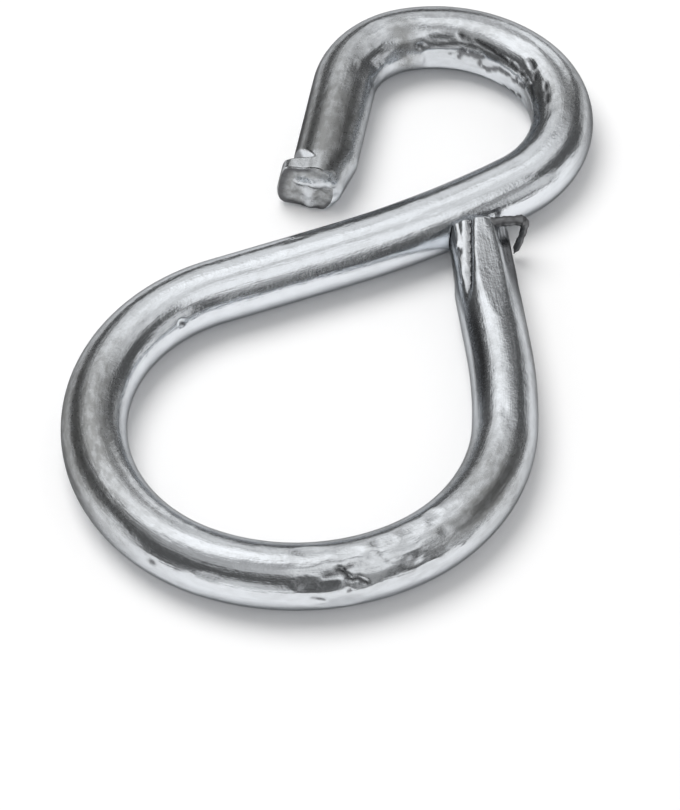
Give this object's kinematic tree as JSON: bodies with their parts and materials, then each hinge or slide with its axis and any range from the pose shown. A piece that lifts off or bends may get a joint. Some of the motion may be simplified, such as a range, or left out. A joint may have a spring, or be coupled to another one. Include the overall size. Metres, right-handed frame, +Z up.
{
  "type": "s hook",
  "caption": "Round bar bent into an S, with a large closed eye at one end and a small open hook at the other; zinc plated, lying flat.",
  "frame": {"origin": "middle of the hook's length and width, on the surface that it lies on", "axes": "+Y along the hook's length from the closed eye to the open hook, +Z up from the surface, +X across the width to the right"},
  "size_m": [0.0556, 0.0958, 0.008],
  "materials": {
    "zinc_plate": "bright zinc plate over drawn bar, streaked along its length, with scuffs from bending and shearing"
  },
  "bodies": {
    "root": {"s_hook": "zinc_plate"}
  },
  "joints": []
}
